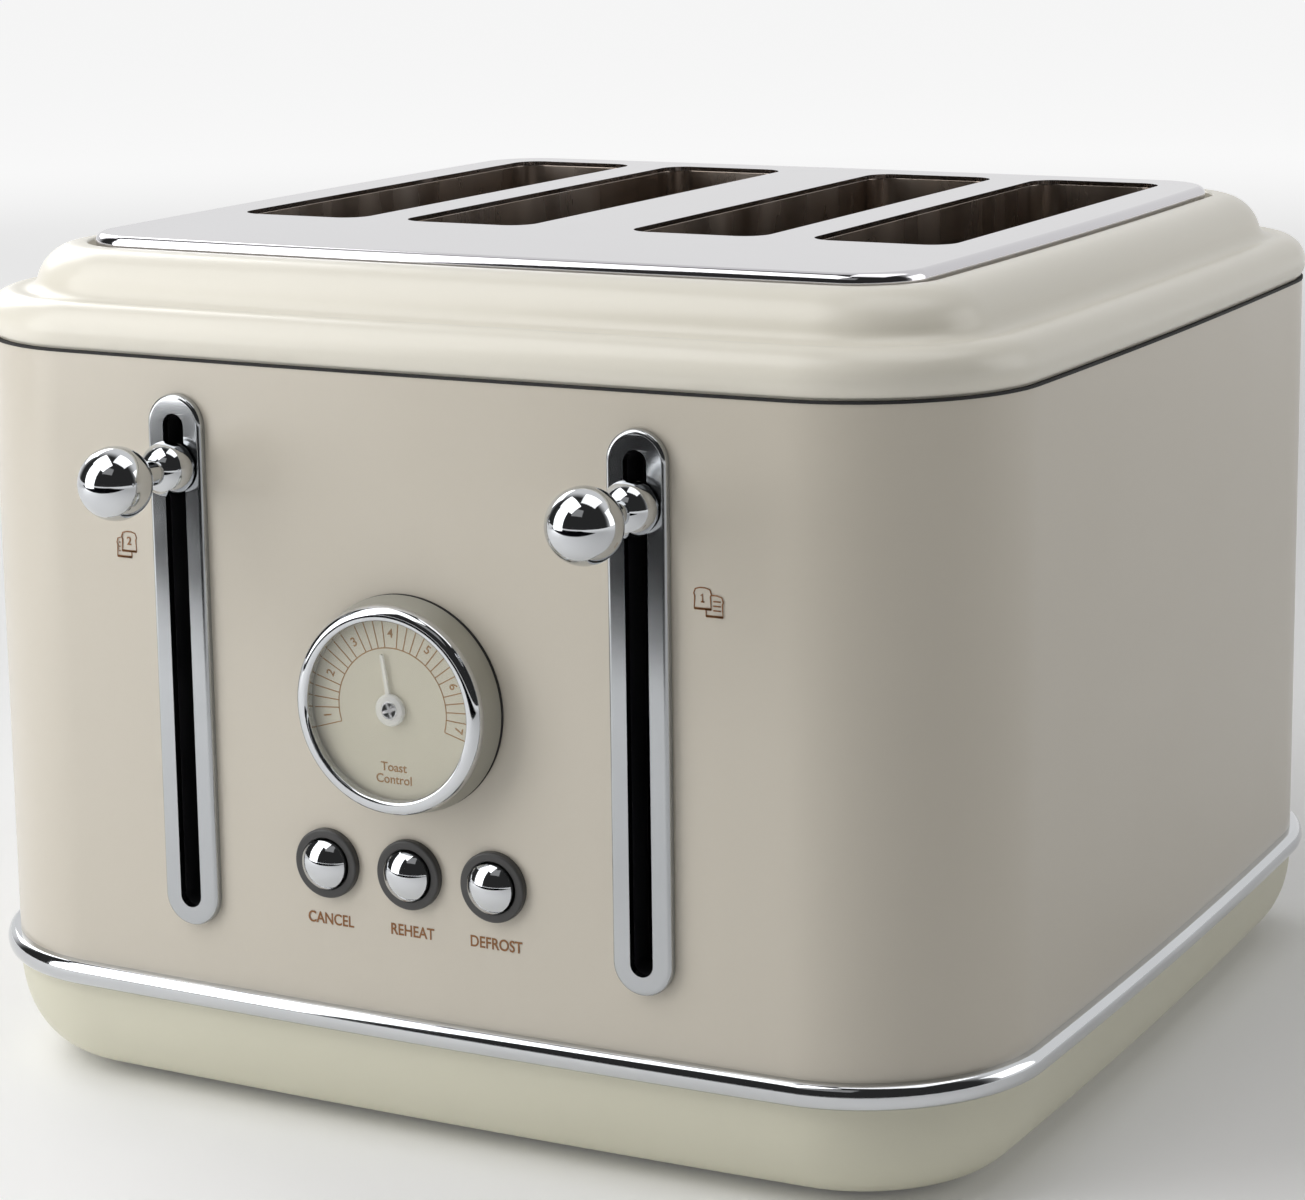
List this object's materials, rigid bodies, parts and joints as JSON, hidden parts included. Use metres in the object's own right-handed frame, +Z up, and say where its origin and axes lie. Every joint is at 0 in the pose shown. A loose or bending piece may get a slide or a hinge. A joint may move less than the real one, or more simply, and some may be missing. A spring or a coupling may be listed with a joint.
{
  "type": "pop up toaster",
  "caption": "Retro pop up toaster with long bread slots under an ogee cap, ball-knob levers, a gauge-style browning dial, push buttons and rear crumb trays.",
  "frame": {"origin": "on the surface the feet stand on, at the middle of the whole box in X and Y", "axes": "+Z up; the levers, dial and buttons face -Y; +X is to the right of someone who faces the controls"},
  "size_m": [0.2958, 0.3266, 0.2176],
  "materials": {
    "cream_paint": "smooth semi-gloss enamel",
    "cap_paint": "glossy enamel",
    "base_plastic": "semi-gloss moulded plastic",
    "under_plastic": "fine moulded texture",
    "foot_rubber": "matt",
    "screw_steel": "plated",
    "chrome": "mirror",
    "escutcheon_chrome": "mirror",
    "polished_steel": "mirror polished with a fine grain",
    "liner_steel": "heat tinted",
    "zinc_steel": "zinc plated sheet",
    "post_plastic": "matt",
    "mica": "flaky, slightly shiny",
    "heating_alloy": "oxidised",
    "guard_steel": "plated wire",
    "latch_iron": "machined",
    "spring_steel": "drawn wire",
    "coil_copper": "enamelled copper",
    "black_plastic": "matt",
    "dial_print": "satin, printed scale",
    "dial_satin": "satin",
    "dial_glass": "clear",
    "pointer_clear": "frosted clear",
    "ring_plastic": "satin",
    "circuit_board": "solder mask",
    "pot_case": "moulded",
    "terminal_nylon": "moulded"
  },
  "bodies": {
    "housing": {"base_shell": "base_plastic", "bottom_plate": "under_plastic", "feet": "foot_rubber", "foot_screws": "screw_steel", "chrome_band": "chrome", "body_shell": "cream_paint", "top_cap": "cap_paint", "slot_plate": "polished_steel", "slot_liners": "liner_steel", "chassis_floor": "zinc_steel", "chassis_posts": "post_plastic", "chassis_front": "zinc_steel", "chassis_rear": "zinc_steel", "chassis_divider": "zinc_steel", "heat_shields": "zinc_steel", "mica_boards": "mica", "heating_wires": "heating_alloy", "guide_rods": "screw_steel", "left_return_spring": "spring_steel", "right_return_spring": "spring_steel", "magnet_cores": "latch_iron", "magnet_coils": "coil_copper", "left_escutcheon": "escutcheon_chrome", "right_escutcheon": "escutcheon_chrome", "slot_shrouds": "black_plastic", "dial_face": "dial_print", "button_rings": "ring_plastic", "control_board": "circuit_board", "board_bracket": "zinc_steel", "timer_pot": "pot_case", "button_switches": "black_plastic", "terminal_block": "terminal_nylon", "cord_inlet": "black_plastic"},
    "left_lever": {"left_carriage": "zinc_steel", "left_racks": "guard_steel", "left_stem": "chrome", "left_ball_knob": "chrome", "left_latch_plate": "latch_iron"},
    "right_lever": {"right_carriage": "zinc_steel", "right_racks": "guard_steel", "right_stem": "chrome", "right_ball_knob": "chrome", "right_latch_plate": "latch_iron"},
    "left_slots_left_guards": {"left_guards_left": "guard_steel"},
    "left_slots_right_guards": {"left_guards_right": "guard_steel"},
    "right_slots_left_guards": {"right_guards_left": "guard_steel"},
    "right_slots_right_guards": {"right_guards_right": "guard_steel"},
    "dial": {"dial_skirt": "dial_satin", "dial_bezel": "chrome", "dial_lens": "dial_glass", "dial_pointer": "pointer_clear", "dial_shaft": "screw_steel"},
    "left_button_cap": {"left_button": "chrome"},
    "middle_button_cap": {"middle_button": "chrome"},
    "right_button_cap": {"right_button": "chrome"},
    "left_tray": {"left_crumb_tray": "zinc_steel", "left_tray_pull": "chrome"},
    "right_tray": {"right_crumb_tray": "zinc_steel", "right_tray_pull": "chrome"}
  },
  "joints": [
    {"name": "left_lever_slide", "type": "slide", "parent": "housing", "child": "left_lever", "axis": [0, 0, 1], "range_m": [-0.1, 0.009], "stiffness_N_per_m": 60, "springref_m": 0.03462, "deforming": ["left_return_spring"]},
    {"name": "right_lever_slide", "type": "slide", "parent": "housing", "child": "right_lever", "axis": [0, 0, 1], "range_m": [-0.1, 0.009], "stiffness_N_per_m": 60, "springref_m": 0.03462, "deforming": ["right_return_spring"]},
    {"name": "left_slots_left_guards_slide", "type": "slide", "parent": "housing", "child": "left_slots_left_guards", "axis": [1, 0, 0], "range_m": [-0.00041, 0.0046]},
    {"name": "left_slots_right_guards_slide", "type": "slide", "parent": "housing", "child": "left_slots_right_guards", "axis": [-1, 0, 0], "range_m": [-0.00041, 0.0046]},
    {"name": "right_slots_left_guards_slide", "type": "slide", "parent": "housing", "child": "right_slots_left_guards", "axis": [1, 0, 0], "range_m": [-0.00041, 0.0046]},
    {"name": "right_slots_right_guards_slide", "type": "slide", "parent": "housing", "child": "right_slots_right_guards", "axis": [-1, 0, 0], "range_m": [-0.00041, 0.0046]},
    {"name": "dial_turn", "type": "hinge", "parent": "housing", "child": "dial", "pos_m": [0, -0.12832, 0.1131], "axis": [0, 1, 0], "range_deg": [-92, 110]},
    {"name": "left_button_press", "type": "slide", "parent": "housing", "child": "left_button_cap", "axis": [0, 1, 0], "range_m": [0, 0.0025], "stiffness_N_per_m": 400, "springref_m": -0.001},
    {"name": "middle_button_press", "type": "slide", "parent": "housing", "child": "middle_button_cap", "axis": [0, 1, 0], "range_m": [0, 0.0025], "stiffness_N_per_m": 400, "springref_m": -0.001},
    {"name": "right_button_press", "type": "slide", "parent": "housing", "child": "right_button_cap", "axis": [0, 1, 0], "range_m": [0, 0.0025], "stiffness_N_per_m": 400, "springref_m": -0.001},
    {"name": "left_tray_slide", "type": "slide", "parent": "housing", "child": "left_tray", "axis": [0, 1, 0], "range_m": [0, 0.19]},
    {"name": "right_tray_slide", "type": "slide", "parent": "housing", "child": "right_tray", "axis": [0, 1, 0], "range_m": [0, 0.19]}
  ],
  "couplings": [
    {"joint": "left_slots_left_guards_slide", "follows": "left_lever_slide", "ratio": -0.045},
    {"joint": "left_slots_right_guards_slide", "follows": "left_lever_slide", "ratio": -0.045},
    {"joint": "right_slots_left_guards_slide", "follows": "right_lever_slide", "ratio": -0.045},
    {"joint": "right_slots_right_guards_slide", "follows": "right_lever_slide", "ratio": -0.045}
  ]
}
